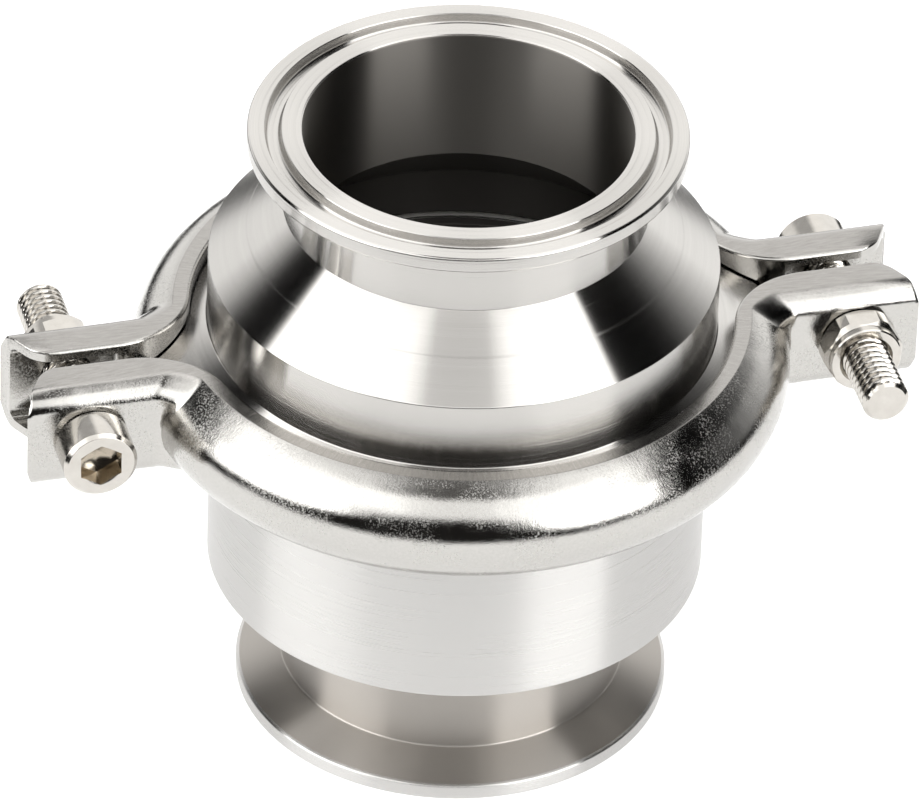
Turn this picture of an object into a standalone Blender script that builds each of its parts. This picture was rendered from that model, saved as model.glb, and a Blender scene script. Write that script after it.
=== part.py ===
"""In-line spring check valve with sanitary clamp ends and a bolted two-piece body clamp.

Frame: metres, +Z up along the valve's axis, the way the fluid flows. The origin is the
centre of the bottom port's sealing face. The body clamp's lugs lie along X and its
two bolts run along Y.
"""
import math

import bmesh
import bpy
from mathutils import Matrix

MM = 0.001
GAP = 0.3 * MM                    # kept between solids that touch on the real valve
RING_STEPS = 48                   # sides of the large turned pieces
SMALL_STEPS = 32                  # sides of the small turned pieces

# Port ferrules, for tube of 50.8 mm outside diameter
HEIGHT = 98 * MM                  # port face to port face
FERRULE_R = 32 * MM
FERRULE_RIM = 2.3 * MM            # thickness of the ferrule at its rim
FERRULE_SLOPE = math.tan(math.radians(20))
BORE_R = 24 * MM
GROOVE_R = 28.25 * MM             # centre of the gasket groove in the port faces
GROOVE_HALF = 1.25 * MM
GROOVE_DEPTH = 1.4 * MM
RIM_EDGE = 0.35 * MM              # broken edge on turned corners

# Upper body
UPPER_NECK_R = 26.6 * MM
UPPER_NECK_BOTTOM = 85.1 * MM
UPPER_CONE_BOTTOM = 75.6 * MM
UPPER_R = 37.3 * MM
UPPER_BORE_BOTTOM = 76.8 * MM
CHAMBER_R = 34 * MM

# Joint between the two bodies: two larger ferrules face to face on a gasket
JOINT_Z = 58.2 * MM
JOINT_R = 45.5 * MM
JOINT_RIM = 2.85 * MM
JOINT_FACE = 0.9 * MM             # from the joint's middle plane to each ferrule's face
JOINT_GROOVE_R = 41.6 * MM

# Lower body
LOWER_R = 36.6 * MM
LOWER_SHOULDER = 22.7 * MM
LOWER_NECK_R = 25.4 * MM
LOWER_CHAMBER_R = 33.4 * MM
SEAT_Z = 41 * MM                  # small end of the 45 degree seat cone, at the bore's radius
RIDGE_R = 22.3 * MM               # ridge in the bore that the guide spider bears on
RIDGE_TOP = 36.8 * MM
RIDGE_BOTTOM = 34.5 * MM
SNAP_GROOVE_R = 25 * MM
SNAP_GROOVE_TOP = 28.9 * MM
SNAP_GROOVE_BOTTOM = 27.5 * MM

# Clamp half: the path is its inner lip in plan, the section stands outward from the path
LIP_R = 39.8 * MM                 # inner lip of the ring
LIP_Y = 1.6 * MM                  # lip of the lugs, from the parting plane
FLARE_R = 13.3 * MM               # radius where the ring's lip turns out into the lug's
LUG_END = 67 * MM
LUG_DEPTH = 7.65 * MM             # lip to the outer face of the lug's web
LUG_HALF_HEIGHT = 8.1 * MM
LUG_BEND = 3.1 * MM
LUG_WALL = 1.6 * MM               # upper and lower wall of the hollow lug
WEB_WALL = 2.4 * MM               # wall under the screw head
LUG_SLANT = 4.2 * MM              # how much further the web reaches than the lip
RING_HALF_HEIGHT = 8.3 * MM
RING_CROWN_R = 8.8 * MM           # round outside of the ring's section
RING_DEPTH = 8.4 * MM
CLAMP_GROOVE_R = 46.1 * MM        # bottom of the V groove that draws the ferrules together
POCKET_START = 49.5 * MM          # inner end of the hollow in the lug

# Clamp screws and nuts
BOLT_X = 57.6 * MM
BOLT_R = 3.5 * MM
BOLT_HOLE_R = 3.9 * MM
BOLT_TIP = 25.3 * MM              # end of the thread, from the parting plane
HEAD_R = 5.45 * MM
HEAD_HEIGHT = 6.3 * MM
SOCKET_FLATS = 6 * MM
SOCKET_DEPTH = 3.2 * MM
NUT_FLATS = 11.1 * MM
NUT_HEIGHT = 5.0 * MM
NUT_HOLE_R = 3.8 * MM

# Moving stack: disc, seal, retainer, stem
STEM_R = 4 * MM
STEM_HOLE_R = 4.3 * MM
STEM_BOTTOM = 1 * MM
STEM_TOP = 57 * MM
STEM_FLANGE_R = 8 * MM
STEM_FLANGE_BOTTOM = 35.5 * MM
STEM_FLANGE_TOP = 37.7 * MM
RETAINER_R = 23.3 * MM
RETAINER_TOP = 41.2 * MM
SEAL_R = 23.5 * MM                # centre of the seal ring's section
SEAL_Z = 43.35 * MM
SEAL_SECTION_R = 1.8 * MM
DISC_R = 27.6 * MM
DISC_HUB_R = 21.3 * MM
DISC_RIM_TOP = 48 * MM
DISC_TOP = 50 * MM
STEM_NUT_FLATS = 13 * MM
STEM_NUT_HEIGHT = 4 * MM

# Guide, bush and spring
SPIDER_R = 23.7 * MM
SPIDER_INNER_R = 21 * MM
SPIDER_TOP = 34.2 * MM
SPIDER_BOTTOM = 29.2 * MM
SPIDER_ARMS = 3
ARM_WIDTH = 3.2 * MM
HUB_R = 8 * MM
HUB_BORE_R = 5.9 * MM
HUB_TOP = 35.2 * MM
HUB_BOTTOM = 27 * MM
BUSH_R = 5.6 * MM
BUSH_FLANGE_R = 8.6 * MM
BUSH_FLANGE_BOTTOM = 25.4 * MM
SPRING_R = 7.4 * MM               # centre of the wire
SPRING_WIRE_R = 0.6 * MM
SPRING_TURNS = 6
SPRING_TOP = 25.1 * MM
COLLAR_R = 9.4 * MM
COLLAR_TOP = 7.6 * MM
COLLAR_BOTTOM = 6.1 * MM
SNAP_RING_R = 24.6 * MM

STEEL = ((0.60, 0.59, 0.57), 0.22)
POLISHED = ((0.64, 0.63, 0.61), 0.12)
FASTENER = ((0.56, 0.54, 0.50), 0.25)
SPRING_STEEL = ((0.45, 0.44, 0.42), 0.30)


def collection(name):
    """A new collection linked to the scene."""
    made = bpy.data.collections.new(name)
    bpy.context.scene.collection.children.link(made)
    return made


def finish(obj, colour, roughness, metallic=1.0):
    """Give an object its own material and smooth shading with sharp corners."""
    mat = bpy.data.materials.new(obj.name)
    mat.use_nodes = True
    shader = mat.node_tree.nodes["Principled BSDF"]
    shader.inputs["Base Color"].default_value = (*colour, 1)
    shader.inputs["Roughness"].default_value = roughness
    shader.inputs["Metallic"].default_value = metallic
    obj.data.materials.clear()
    obj.data.materials.append(mat)
    if obj.type == "MESH":
        obj.data.shade_smooth()
        obj.data.set_sharp_from_angle(angle=math.radians(30))


def add_object(name, mesh, home):
    obj = bpy.data.objects.new(name, mesh)
    home.objects.link(obj)
    if home is CUTTERS:
        obj.hide_render = True
        obj.display_type = "WIRE"
    return obj


def turned(name, outline, home, steps=RING_STEPS, closed=True):
    """Turn a (radius, z) outline about Z; it runs down its outer side, top to bottom.

    A closed outline makes a ring; an open one starts and ends on the axis.
    """
    mesh = bpy.data.meshes.new(name)
    count = len(outline)
    edges = [(i, (i + 1) % count) for i in range(count if closed else count - 1)]
    mesh.from_pydata([(r, 0, z) for r, z in outline], edges, [])
    obj = add_object(name, mesh, home)
    screw = obj.modifiers.new("turn", "SCREW")
    screw.axis = "Z"
    screw.steps = steps
    screw.render_steps = steps
    screw.use_merge_vertices = True
    screw.merge_threshold = 0.00001
    return obj


def prism(name, sides, flats, low, high, home):
    """A regular prism along Z, measured across its flats, with a flat facing +Y."""
    mesh = bpy.data.meshes.new(name)
    bm = bmesh.new()
    radius = flats / 2 / math.cos(math.pi / sides)
    bmesh.ops.create_cone(bm, cap_ends=True, segments=sides, radius1=radius, radius2=radius,
                          depth=high - low)
    bmesh.ops.rotate(bm, verts=bm.verts, matrix=Matrix.Rotation(math.pi / 6, 3, "Z"))
    bmesh.ops.translate(bm, verts=bm.verts, vec=(0, 0, (low + high) / 2))
    bm.to_mesh(mesh)
    bm.free()
    return add_object(name, mesh, home)


def box(name, low, high, home):
    """A box between two corners."""
    mesh = bpy.data.meshes.new(name)
    bm = bmesh.new()
    bmesh.ops.create_cube(bm, size=1)
    bmesh.ops.scale(bm, verts=bm.verts, vec=[b - a for a, b in zip(low, high)])
    bmesh.ops.translate(bm, verts=bm.verts, vec=[(a + b) / 2 for a, b in zip(low, high)])
    bm.to_mesh(mesh)
    bm.free()
    return add_object(name, mesh, home)


def combine(obj, other, operation):
    """Add an exact Boolean with another object, which becomes a cutter or a joined piece."""
    mod = obj.modifiers.new(operation.lower(), "BOOLEAN")
    mod.operation = operation
    mod.solver = "EXACT"
    mod.object = other


def arc(centre_r, centre_z, radius, start, end, points):
    """Points of an arc in the (radius, z) plane, angles in degrees from +radius."""
    angles = [math.radians(start + (end - start) * i / (points - 1)) for i in range(points)]
    return [(centre_r + radius * math.cos(a), centre_z + radius * math.sin(a)) for a in angles]


def face_groove(centre, face, into):
    """Outward outline of a gasket groove in a ferrule face; into is -1 down or +1 up."""
    floor = face + into * GROOVE_DEPTH
    half, slope = GROOVE_HALF, 0.35 * MM
    return [(centre - half, face), (centre - half + slope, floor),
            (centre + half - slope, floor), (centre + half, face)]


def ferrule_side(rim_r, face, thickness, neck_r, into):
    """Outline from a ferrule's face over its rim and along its 20 degree back to the neck."""
    back = face + into * thickness
    return [(rim_r - RIM_EDGE, face), (rim_r, face + into * RIM_EDGE),
            (rim_r, back - into * RIM_EDGE), (rim_r - RIM_EDGE, back),
            (neck_r, back + into * (rim_r - neck_r) * FERRULE_SLOPE)]


def upper_body():
    joint_face = JOINT_Z + JOINT_FACE
    joint_side = ferrule_side(JOINT_R, joint_face, JOINT_RIM, UPPER_R, +1)
    outline = [(BORE_R, HEIGHT - RIM_EDGE), (BORE_R + RIM_EDGE, HEIGHT)]
    outline += face_groove(GROOVE_R, HEIGHT, -1)
    outline += ferrule_side(FERRULE_R, HEIGHT, FERRULE_RIM, UPPER_NECK_R, -1)
    outline += [(UPPER_NECK_R, UPPER_NECK_BOTTOM), (UPPER_R, UPPER_CONE_BOTTOM)]
    outline += reversed(joint_side)
    outline += reversed(face_groove(JOINT_GROOVE_R, joint_face, +1))
    cone_bottom = UPPER_BORE_BOTTOM - (CHAMBER_R - BORE_R)
    outline += [(CHAMBER_R, joint_face), (CHAMBER_R, cone_bottom), (BORE_R, UPPER_BORE_BOTTOM)]
    obj = turned("upper_body", outline, PARTS)
    finish(obj, *STEEL)


def lower_body():
    joint_face = JOINT_Z - JOINT_FACE
    seat_top = SEAT_Z + LOWER_CHAMBER_R - BORE_R
    outline = [(LOWER_CHAMBER_R, seat_top), (LOWER_CHAMBER_R, joint_face)]
    outline += face_groove(JOINT_GROOVE_R, joint_face, -1)
    outline += ferrule_side(JOINT_R, joint_face, JOINT_RIM, LOWER_R, -1)
    outline += [(LOWER_R, LOWER_SHOULDER + RIM_EDGE), (LOWER_R - RIM_EDGE, LOWER_SHOULDER),
                (LOWER_NECK_R, LOWER_SHOULDER)]
    outline += reversed(ferrule_side(FERRULE_R, 0, FERRULE_RIM, LOWER_NECK_R, +1))
    outline += reversed(face_groove(GROOVE_R, 0, +1))
    outline += [(BORE_R + RIM_EDGE, 0), (BORE_R, RIM_EDGE)]
    outline += [(BORE_R, SNAP_GROOVE_BOTTOM), (SNAP_GROOVE_R, SNAP_GROOVE_BOTTOM),
                (SNAP_GROOVE_R, SNAP_GROOVE_TOP), (BORE_R, SNAP_GROOVE_TOP)]
    outline += [(BORE_R, RIDGE_BOTTOM), (RIDGE_R, RIDGE_BOTTOM), (RIDGE_R, RIDGE_TOP - 1 * MM),
                (RIDGE_R + 1 * MM, RIDGE_TOP), (BORE_R, RIDGE_TOP), (BORE_R, SEAT_Z)]
    obj = turned("lower_body", outline, PARTS)
    finish(obj, *STEEL)


def body_gasket():
    """Flat ring with a bead on each side that lies in the ferrules' grooves."""
    half = JOINT_FACE - GAP
    bead = half + GROOVE_DEPTH - GAP
    root, crest = 0.8 * MM, 0.5 * MM
    outline = [(35 * MM, -half), (35 * MM, half), (JOINT_GROOVE_R - root, half),
               (JOINT_GROOVE_R - crest, bead), (JOINT_GROOVE_R + crest, bead),
               (JOINT_GROOVE_R + root, half), (45 * MM, half), (45 * MM, -half),
               (JOINT_GROOVE_R + root, -half), (JOINT_GROOVE_R + crest, -bead),
               (JOINT_GROOVE_R - crest, -bead), (JOINT_GROOVE_R - root, -half)]
    obj = turned("body_gasket", outline, PARTS)
    obj.location.z = JOINT_Z
    finish(obj, (0.80, 0.79, 0.75), 0.5, metallic=0)


def lip_path():
    """Stations of the rear half's inner lip: point, outward direction, share of ring."""
    flare_x = math.sqrt((LIP_R + FLARE_R) ** 2 - (LIP_Y + FLARE_R) ** 2)
    flare_y = LIP_Y + FLARE_R
    tangent = math.atan2(flare_y, flare_x)
    side = []
    for x in (LUG_END - LUG_SLANT - 1 * MM, POCKET_START + LUG_BEND):
        side.append(((x, LIP_Y), (0, 1), 0.0))
    flare_steps = 7
    for i in range(flare_steps):
        turn = i / flare_steps
        angle = -math.pi / 2 - turn * (math.pi / 2 - tangent)
        out = (-math.cos(angle), -math.sin(angle))
        point = (flare_x - FLARE_R * out[0], flare_y - FLARE_R * out[1])
        side.append((point, out, turn))
    ring_steps = 12
    for i in range(ring_steps):
        angle = tangent + (math.pi / 2 - tangent) * i / ring_steps
        out = (math.cos(angle), math.sin(angle))
        side.append(((LIP_R * out[0], LIP_R * out[1]), out, 1.0))
    middle = [((0, LIP_R), (0, 1), 1.0)]
    other = [((-x, y), (-ox, oy), share) for (x, y), (ox, oy), share in reversed(side)]
    return side + middle + other


def lug_section():
    """(outward, height) outline of a lug from its upper lip round the web to its lower lip."""
    upper = [(0, LUG_HALF_HEIGHT)] + arc(LUG_DEPTH - LUG_BEND, LUG_HALF_HEIGHT - LUG_BEND,
                                         LUG_BEND, 90, 0, 5)
    lower = [(out, -up) for out, up in reversed(upper)]
    return upper + [(LUG_DEPTH, 0)] + lower


def ring_section():
    """(outward, height) outline of the ring, with as many points as a lug's."""
    centre = RING_DEPTH - RING_CROWN_R
    crest = math.degrees(math.asin(RING_HALF_HEIGHT / RING_CROWN_R))
    crown = arc(centre, 0, RING_CROWN_R, crest, crest / 5, 5)
    upper = [(0, RING_HALF_HEIGHT)] + crown
    lower = [(out, -up) for out, up in reversed(upper)]
    return upper + [(RING_DEPTH, 0)] + lower


def clamp_blank():
    """Loft of the lug and ring sections along the lip, closed by the lugs' slanted ends."""
    lug, ring = lug_section(), ring_section()
    rows = []
    for (x, y), (ox, oy), share in lip_path():
        smooth = share * share * (3 - 2 * share)
        row = [(a[0] + (b[0] - a[0]) * smooth, a[1] + (b[1] - a[1]) * smooth)
               for a, b in zip(lug, ring)]
        rows.append([(x + ox * out, y + oy * out, up) for out, up in row])
    end = [(LUG_END - LUG_SLANT * (1 - out / LUG_DEPTH), LIP_Y + out, up) for out, up in lug]
    rows = [end] + rows + [[(-x, y, z) for x, y, z in end]]
    width = len(lug)
    faces = [tuple(range(width))]
    for i in range(len(rows) - 1):
        for j in range(width):
            a, b = i * width + j, i * width + (j + 1) % width
            faces.append((a, a + width, b + width, b))
    start = (len(rows) - 1) * width
    faces.append(tuple(start + j for j in reversed(range(width))))
    mesh = bpy.data.meshes.new("clamp_half")
    mesh.from_pydata([point for row in rows for point in row], [], faces)
    bm = bmesh.new()
    bm.from_mesh(mesh)
    bmesh.ops.recalc_face_normals(bm, faces=bm.faces)
    bm.to_mesh(mesh)
    bm.free()
    return mesh


def clamp_cutters():
    """V groove, the hollows behind the lugs and the screw holes, all about the joint plane."""
    def groove_height(radius):
        return JOINT_FACE + JOINT_RIM + GAP + (JOINT_R - radius) * FERRULE_SLOPE

    inner = LIP_R - 3 * MM
    groove = turned("groove_cutter", [
        (0, groove_height(inner)), (inner, groove_height(inner)),
        (CLAMP_GROOVE_R, groove_height(CLAMP_GROOVE_R)),
        (CLAMP_GROOVE_R, -groove_height(CLAMP_GROOVE_R)),
        (inner, -groove_height(inner)), (0, -groove_height(inner))], CUTTERS, closed=False)
    cutters = [groove]
    pocket_half = LUG_HALF_HEIGHT - LUG_WALL
    for side, sign in (("right", 1), ("left", -1)):
        near, far = sign * POCKET_START, sign * (LUG_END + 4 * MM)
        pocket = box(f"pocket_cutter_{side}", (min(near, far), -3 * MM, -pocket_half),
                     (max(near, far), LIP_Y + LUG_DEPTH - WEB_WALL, pocket_half), CUTTERS)
        bevel = pocket.modifiers.new("round", "BEVEL")
        bevel.width = 1.5 * MM
        bevel.segments = 2
        hole = turned(f"hole_cutter_{side}", [
            (0, 15 * MM), (BOLT_HOLE_R, 15 * MM), (BOLT_HOLE_R, -15 * MM), (0, -15 * MM)],
            CUTTERS, SMALL_STEPS, closed=False)
        hole.rotation_euler.x = math.pi / 2
        hole.location = (sign * BOLT_X, 8 * MM, 0)
        cutters += [pocket, hole]
    for cutter in cutters:
        cutter.location.z = JOINT_Z
    return cutters


def clamp_halves():
    """Two like halves; each is cut by its own set of cutters turned with it."""
    blank = clamp_blank()
    for name, turn in (("clamp_half_rear", 0), ("clamp_half_front", math.pi)):
        half = add_object(name, blank.copy(), PARTS)
        half.location.z = JOINT_Z
        half.rotation_euler.z = turn
        holder = bpy.data.objects.new(f"{name}_cutters", None)
        CUTTERS.objects.link(holder)
        for cutter in clamp_cutters():
            cutter.parent = holder
            combine(half, cutter, "DIFFERENCE")
        holder.rotation_euler.z = turn
        finish(half, *POLISHED)


def socket_screw(name, x, turn):
    """Socket head screw built along Z, head up, then laid along Y."""
    length = BOLT_TIP + LIP_Y + LUG_DEPTH + GAP
    edge = 0.5 * MM
    outline = [(0, HEAD_HEIGHT), (HEAD_R - edge, HEAD_HEIGHT), (HEAD_R, HEAD_HEIGHT - edge),
               (HEAD_R, edge), (HEAD_R - edge, 0), (BOLT_R, 0), (BOLT_R, -length + 2 * edge),
               (BOLT_R - 2 * edge, -length), (0, -length)]
    screw = turned(name, outline, PARTS, SMALL_STEPS, closed=False)
    socket = prism(f"{name}_socket_cutter", 6, SOCKET_FLATS, HEAD_HEIGHT - SOCKET_DEPTH,
                   HEAD_HEIGHT + 1 * MM, CUTTERS)
    socket.rotation_euler.z = math.pi / 6
    socket.parent = screw
    combine(screw, socket, "DIFFERENCE")
    screw.rotation_euler.x = turn
    seat = LIP_Y + LUG_DEPTH + GAP
    screw.location = (x, -math.copysign(seat, turn), JOINT_Z)
    finish(screw, *FASTENER)


def hex_nut(name, flats, height, hole_r, colours):
    """Hexagon nut standing on Z = 0 with a plain bore."""
    nut = prism(name, 6, flats, 0, height, PARTS)
    hole = turned(f"{name}_hole_cutter", [
        (0, 2 * height), (hole_r, 2 * height), (hole_r, -height), (0, -height)],
        CUTTERS, SMALL_STEPS, closed=False)
    hole.parent = nut
    combine(nut, hole, "DIFFERENCE")
    finish(nut, *colours)
    return nut


def clamp_fasteners():
    """Left screw from the front and right screw from the rear, each with its own nut."""
    quarter = math.pi / 2
    seat = LIP_Y + LUG_DEPTH + GAP
    for side, x, turn in (("left", -BOLT_X, quarter), ("right", BOLT_X, -quarter)):
        socket_screw(f"clamp_screw_{side}", x, turn)
        nut = hex_nut(f"clamp_nut_{side}", NUT_FLATS, NUT_HEIGHT, NUT_HOLE_R, FASTENER)
        nut.rotation_euler.x = -turn
        nut.location = (x, math.copysign(seat, turn), JOINT_Z)


def moving_stack(lift):
    """Disc, seal, retainer, stem and its nuts, parented to an empty on the slide axis."""
    edge = 0.4 * MM
    disc_bottom = RETAINER_TOP + GAP
    shelf = SEAL_Z + SEAL_SECTION_R + GAP
    disc = turned("valve_disc", [
        (STEM_HOLE_R, DISC_TOP), (STEM_FLANGE_R + 1 * MM, DISC_TOP),
        (DISC_R - 1 * MM, DISC_RIM_TOP), (DISC_R, DISC_RIM_TOP - 1 * MM),
        (DISC_R, shelf + edge), (DISC_R - edge, shelf), (DISC_HUB_R, shelf),
        (DISC_HUB_R, disc_bottom), (STEM_HOLE_R, disc_bottom)], PARTS)
    finish(disc, *STEEL)

    bpy.ops.mesh.primitive_torus_add(major_radius=SEAL_R, minor_radius=SEAL_SECTION_R,
                                     major_segments=RING_STEPS, minor_segments=8,
                                     location=(0, 0, SEAL_Z))
    seal = bpy.context.object
    seal.name = "disc_seal"
    seal.users_collection[0].objects.unlink(seal)
    PARTS.objects.link(seal)
    finish(seal, (0.03, 0.03, 0.03), 0.55, metallic=0)

    retainer_bottom = STEM_FLANGE_TOP + GAP
    retainer = turned("seal_retainer", [
        (STEM_HOLE_R, RETAINER_TOP), (RETAINER_R, RETAINER_TOP),
        (RETAINER_R - 0.8 * MM, RETAINER_TOP - 1.2 * MM),
        (RETAINER_R - 2 * MM, retainer_bottom), (STEM_HOLE_R, retainer_bottom)], PARTS)
    finish(retainer, *STEEL)

    stem = turned("stem", [
        (0, STEM_TOP), (STEM_R - edge, STEM_TOP), (STEM_R, STEM_TOP - edge),
        (STEM_R, STEM_FLANGE_TOP), (STEM_FLANGE_R, STEM_FLANGE_TOP),
        (STEM_FLANGE_R, STEM_FLANGE_BOTTOM), (STEM_R, STEM_FLANGE_BOTTOM),
        (STEM_R, STEM_BOTTOM + edge), (STEM_R - edge, STEM_BOTTOM), (0, STEM_BOTTOM)],
        PARTS, SMALL_STEPS, closed=False)
    finish(stem, *STEEL)

    boss_r = SPRING_R - SPRING_WIRE_R - 0.5 * MM
    boss_top = COLLAR_TOP + 0.8 * MM
    collar = turned("spring_collar", [
        (STEM_HOLE_R, boss_top), (boss_r, boss_top), (boss_r, COLLAR_TOP),
        (COLLAR_R, COLLAR_TOP), (COLLAR_R, COLLAR_BOTTOM), (STEM_HOLE_R, COLLAR_BOTTOM)],
        PARTS, SMALL_STEPS)
    finish(collar, *STEEL)

    top_nut = hex_nut("stem_nut_top", STEM_NUT_FLATS, STEM_NUT_HEIGHT, STEM_HOLE_R, FASTENER)
    top_nut.location.z = DISC_TOP + GAP
    low_nut = hex_nut("stem_nut_bottom", STEM_NUT_FLATS, STEM_NUT_HEIGHT, STEM_HOLE_R, FASTENER)
    low_nut.location.z = COLLAR_BOTTOM - GAP - STEM_NUT_HEIGHT
    for piece in (disc, seal, retainer, stem, collar, top_nut, low_nut):
        piece.parent = lift


def guide_spider():
    """Ring, hub and arms in one piece."""
    spider = turned("guide_spider", [
        (SPIDER_INNER_R, SPIDER_TOP), (SPIDER_R, SPIDER_TOP),
        (SPIDER_R, SPIDER_BOTTOM), (SPIDER_INNER_R, SPIDER_BOTTOM)], PARTS)
    hub = turned("spider_hub", [
        (HUB_BORE_R, HUB_TOP), (HUB_R, HUB_TOP), (HUB_R, HUB_BOTTOM),
        (HUB_BORE_R, HUB_BOTTOM)], CUTTERS, SMALL_STEPS)
    for index in range(SPIDER_ARMS):
        arm = box(f"spider_arm_{index}", (HUB_R - 1 * MM, -ARM_WIDTH / 2, SPIDER_BOTTOM + 0.4 * MM),
                  (SPIDER_INNER_R + 1 * MM, ARM_WIDTH / 2, SPIDER_TOP - 0.4 * MM), CUTTERS)
        arm.rotation_euler.z = math.pi / 2 + index * 2 * math.pi / SPIDER_ARMS
        combine(spider, arm, "UNION")
    combine(spider, hub, "UNION")
    finish(spider, *STEEL)


def guide_bush():
    flange_top = HUB_BOTTOM - GAP
    bush = turned("guide_bush", [
        (STEM_HOLE_R, HUB_TOP - 0.6 * MM), (BUSH_R, HUB_TOP - 0.6 * MM), (BUSH_R, flange_top),
        (BUSH_FLANGE_R, flange_top), (BUSH_FLANGE_R, BUSH_FLANGE_BOTTOM),
        (STEM_HOLE_R, BUSH_FLANGE_BOTTOM)], PARTS, SMALL_STEPS)
    finish(bush, (0.85, 0.84, 0.80), 0.45, metallic=0)


def snap_ring():
    """Internal retaining ring with a gap and two ears, an extruded flat outline."""
    gap_half, ear_half = math.radians(12), math.radians(24)
    outer, inner, ear = SNAP_RING_R, 22 * MM, 19.8 * MM
    steps = 36

    def sweep(radius, start, end, count):
        return [(radius * math.cos(start + (end - start) * i / count),
                 radius * math.sin(start + (end - start) * i / count)) for i in range(count + 1)]

    full = 2 * math.pi
    points = sweep(outer, gap_half, full - gap_half, steps)
    points += sweep(ear, full - gap_half, full - ear_half, 3)
    points += sweep(inner, full - ear_half, ear_half, steps - 6)
    points += sweep(ear, ear_half, gap_half, 3)
    curve = bpy.data.curves.new("snap_ring", "CURVE")
    curve.dimensions = "2D"
    curve.fill_mode = "BOTH"
    curve.extrude = (SNAP_GROOVE_TOP - SNAP_GROOVE_BOTTOM) / 2 - 0.2 * MM
    spline = curve.splines.new("POLY")
    spline.points.add(len(points) - 1)
    for slot, (x, y) in zip(spline.points, points):
        slot.co = (x, y, 0, 1)
    spline.use_cyclic_u = True
    ring = add_object("snap_ring", curve, PARTS)
    ring.rotation_euler.z = -math.pi / 2
    ring.location.z = (SNAP_GROOVE_TOP + SNAP_GROOVE_BOTTOM) / 2
    finish(ring, *SPRING_STEEL)


def spring():
    """Open coil between the bush's flange and the collar."""
    low = COLLAR_TOP + GAP + SPRING_WIRE_R
    high = SPRING_TOP - SPRING_WIRE_R
    per_turn = 12
    count = SPRING_TURNS * per_turn
    curve = bpy.data.curves.new("spring", "CURVE")
    curve.dimensions = "3D"
    curve.bevel_depth = SPRING_WIRE_R
    curve.bevel_resolution = 2
    curve.use_fill_caps = True
    spline = curve.splines.new("POLY")
    spline.points.add(count)
    for index, slot in enumerate(spline.points):
        angle = 2 * math.pi * index / per_turn
        slot.co = (SPRING_R * math.cos(angle), SPRING_R * math.sin(angle),
                   low + (high - low) * index / count, 1)
    coil = add_object("spring", curve, PARTS)
    finish(coil, *SPRING_STEEL)


for old in list(bpy.data.objects):
    bpy.data.objects.remove(old, do_unlink=True)
PARTS = collection("check_valve")
CUTTERS = collection("cutters")

LIFT_AXIS = bpy.data.objects.new("disc_lift_axis", None)
PARTS.objects.link(LIFT_AXIS)

upper_body()
lower_body()
body_gasket()
clamp_halves()
clamp_fasteners()
moving_stack(LIFT_AXIS)
guide_spider()
guide_bush()
snap_ring()
spring()
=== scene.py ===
import math

import bmesh
import bpy
from mathutils import Matrix, Vector


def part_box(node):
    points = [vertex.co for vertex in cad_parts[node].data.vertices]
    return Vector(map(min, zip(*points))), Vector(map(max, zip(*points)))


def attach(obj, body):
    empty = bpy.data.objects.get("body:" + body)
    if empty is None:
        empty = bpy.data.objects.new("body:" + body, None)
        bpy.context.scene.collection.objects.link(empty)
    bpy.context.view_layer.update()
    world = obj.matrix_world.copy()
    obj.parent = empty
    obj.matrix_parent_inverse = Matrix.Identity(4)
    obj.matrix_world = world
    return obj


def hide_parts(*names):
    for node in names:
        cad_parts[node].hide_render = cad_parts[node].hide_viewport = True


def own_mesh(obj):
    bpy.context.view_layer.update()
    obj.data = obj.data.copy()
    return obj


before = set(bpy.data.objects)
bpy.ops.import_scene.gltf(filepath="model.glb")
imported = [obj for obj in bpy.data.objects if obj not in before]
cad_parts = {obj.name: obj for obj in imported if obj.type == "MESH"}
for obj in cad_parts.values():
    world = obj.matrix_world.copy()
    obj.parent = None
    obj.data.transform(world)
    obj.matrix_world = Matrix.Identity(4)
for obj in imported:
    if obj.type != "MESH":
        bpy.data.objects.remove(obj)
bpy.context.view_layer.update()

MM = 0.001
QUARTER = math.pi / 2
ROUND_STEPS = 256                 # sides of the large turned pieces
SMALL_STEPS = 96                  # sides of the small ones, a multiple of 12 for the hexagons
SHARP = math.radians(30)
ARC_STEP = math.radians(18)       # of a fillet
FINE = 0.2 * MM                   # the usual small fillets
SOFT = 0.3 * MM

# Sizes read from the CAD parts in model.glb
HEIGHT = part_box("upper_body")[1].z
JOINT_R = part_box("upper_body")[1].x
CLAMP_LOW, CLAMP_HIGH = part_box("clamp_half_rear")
JOINT_Z = (CLAMP_LOW.z + CLAMP_HIGH.z) / 2
LIP_Y = CLAMP_LOW.y               # lip of the lugs, from the parting plane
LUG_END = CLAMP_HIGH.x
RING_HALF_HEIGHT = (CLAMP_HIGH.z - CLAMP_LOW.z) / 2
SCREW_LOW, SCREW_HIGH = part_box("clamp_screw_right")
BOLT_X = (SCREW_LOW.x + SCREW_HIGH.x) / 2
HEAD_R = (SCREW_HIGH.x - SCREW_LOW.x) / 2
BOLT_TIP = -SCREW_LOW.y
SPRING_LOW, SPRING_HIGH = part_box("spring")
STEM_BOTTOM, STEM_TOP = (corner.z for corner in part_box("stem"))

# Port ferrules
FERRULE_R = 32 * MM
FERRULE_RIM = 2.3 * MM            # thickness of the ferrule at its rim
FERRULE_SLOPE = math.tan(math.radians(20))
BORE_R = 24 * MM
GROOVE_R = 28.25 * MM
GROOVE_HALF = 1.25 * MM
GROOVE_DEPTH = 1.4 * MM
RIM_EDGE = 0.35 * MM

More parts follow.
